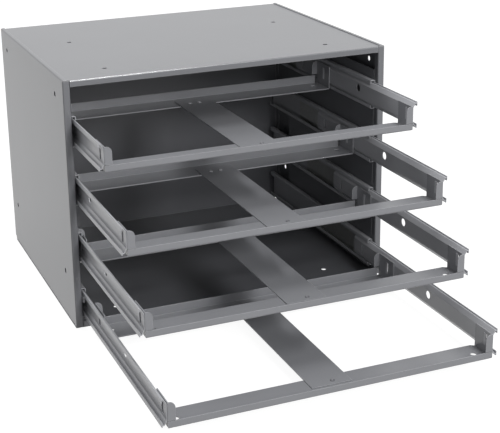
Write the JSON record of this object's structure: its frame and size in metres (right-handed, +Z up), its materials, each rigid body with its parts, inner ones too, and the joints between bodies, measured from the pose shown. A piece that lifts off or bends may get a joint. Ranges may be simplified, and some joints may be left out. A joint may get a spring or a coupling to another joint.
{
  "type": "compartment box rack",
  "caption": "Open-fronted steel cabinet with sheet-metal frames on ball slides, each of which carries a lift-out compartment box.",
  "frame": {"origin": "centre of the cabinet's footprint, on the surface that it stands on", "axes": "+X to the right as seen from the front, +Y from the open front to the back, +Z up"},
  "size_m": [0.508, 0.754, 0.378],
  "materials": {
    "cabinet_enamel": "semi-gloss grey enamel on sheet steel",
    "frame_enamel": "semi-gloss grey enamel on sheet steel",
    "slide_enamel": "semi-gloss grey enamel on rolled steel",
    "cage_zinc": "zinc-plated strip",
    "ball_steel": "polished hardened steel"
  },
  "bodies": {
    "cabinet": {"left_side": "cabinet_enamel", "right_side": "cabinet_enamel", "top_panel": "cabinet_enamel", "bottom_panel": "cabinet_enamel", "back_panel": "cabinet_enamel", "left_slide_panel": "cabinet_enamel", "right_slide_panel": "cabinet_enamel", "cabinet_member_1_left": "slide_enamel", "cabinet_member_1_right": "slide_enamel", "cabinet_member_2_left": "slide_enamel", "cabinet_member_2_right": "slide_enamel", "cabinet_member_3_left": "slide_enamel", "cabinet_member_3_right": "slide_enamel", "cabinet_member_4_left": "slide_enamel", "cabinet_member_4_right": "slide_enamel"},
    "frame_1": {"front_rail_1": "frame_enamel", "rear_rail_1": "frame_enamel", "center_strap_1": "frame_enamel", "drawer_member_1_left": "slide_enamel", "drawer_member_1_right": "slide_enamel"},
    "frame_2": {"front_rail_2": "frame_enamel", "rear_rail_2": "frame_enamel", "center_strap_2": "frame_enamel", "drawer_member_2_left": "slide_enamel", "drawer_member_2_right": "slide_enamel"},
    "frame_3": {"front_rail_3": "frame_enamel", "rear_rail_3": "frame_enamel", "center_strap_3": "frame_enamel", "drawer_member_3_left": "slide_enamel", "drawer_member_3_right": "slide_enamel"},
    "frame_4": {"front_rail_4": "frame_enamel", "rear_rail_4": "frame_enamel", "center_strap_4": "frame_enamel", "drawer_member_4_left": "slide_enamel", "drawer_member_4_right": "slide_enamel"},
    "cages_1": {"ball_cage_1_left": "cage_zinc", "ball_cage_1_right": "cage_zinc", "balls_1_left": "ball_steel", "balls_1_right": "ball_steel"},
    "cages_2": {"ball_cage_2_left": "cage_zinc", "ball_cage_2_right": "cage_zinc", "balls_2_left": "ball_steel", "balls_2_right": "ball_steel"},
    "cages_3": {"ball_cage_3_left": "cage_zinc", "ball_cage_3_right": "cage_zinc", "balls_3_left": "ball_steel", "balls_3_right": "ball_steel"},
    "cages_4": {"ball_cage_4_left": "cage_zinc", "ball_cage_4_right": "cage_zinc", "balls_4_left": "ball_steel", "balls_4_right": "ball_steel"}
  },
  "joints": [
    {"name": "frame_1_slide", "type": "slide", "parent": "cabinet", "child": "frame_1", "axis": [0, -1, 0], "range_m": [-0.124, 0.226]},
    {"name": "frame_2_slide", "type": "slide", "parent": "cabinet", "child": "frame_2", "axis": [0, -1, 0], "range_m": [-0.211, 0.139]},
    {"name": "frame_3_slide", "type": "slide", "parent": "cabinet", "child": "frame_3", "axis": [0, -1, 0], "range_m": [-0.273, 0.077]},
    {"name": "frame_4_slide", "type": "slide", "parent": "cabinet", "child": "frame_4", "axis": [0, -1, 0], "range_m": [-0.35, 0]},
    {"name": "cages_1_slide", "type": "slide", "parent": "cabinet", "child": "cages_1", "axis": [0, -1, 0], "range_m": [-0.062, 0.113]},
    {"name": "cages_2_slide", "type": "slide", "parent": "cabinet", "child": "cages_2", "axis": [0, -1, 0], "range_m": [-0.1055, 0.0695]},
    {"name": "cages_3_slide", "type": "slide", "parent": "cabinet", "child": "cages_3", "axis": [0, -1, 0], "range_m": [-0.1365, 0.0385]},
    {"name": "cages_4_slide", "type": "slide", "parent": "cabinet", "child": "cages_4", "axis": [0, -1, 0], "range_m": [-0.175, 0]}
  ],
  "couplings": [
    {"joint": "cages_1_slide", "follows": "frame_1_slide", "ratio": 0.5},
    {"joint": "cages_2_slide", "follows": "frame_2_slide", "ratio": 0.5},
    {"joint": "cages_3_slide", "follows": "frame_3_slide", "ratio": 0.5},
    {"joint": "cages_4_slide", "follows": "frame_4_slide", "ratio": 0.5}
  ]
}
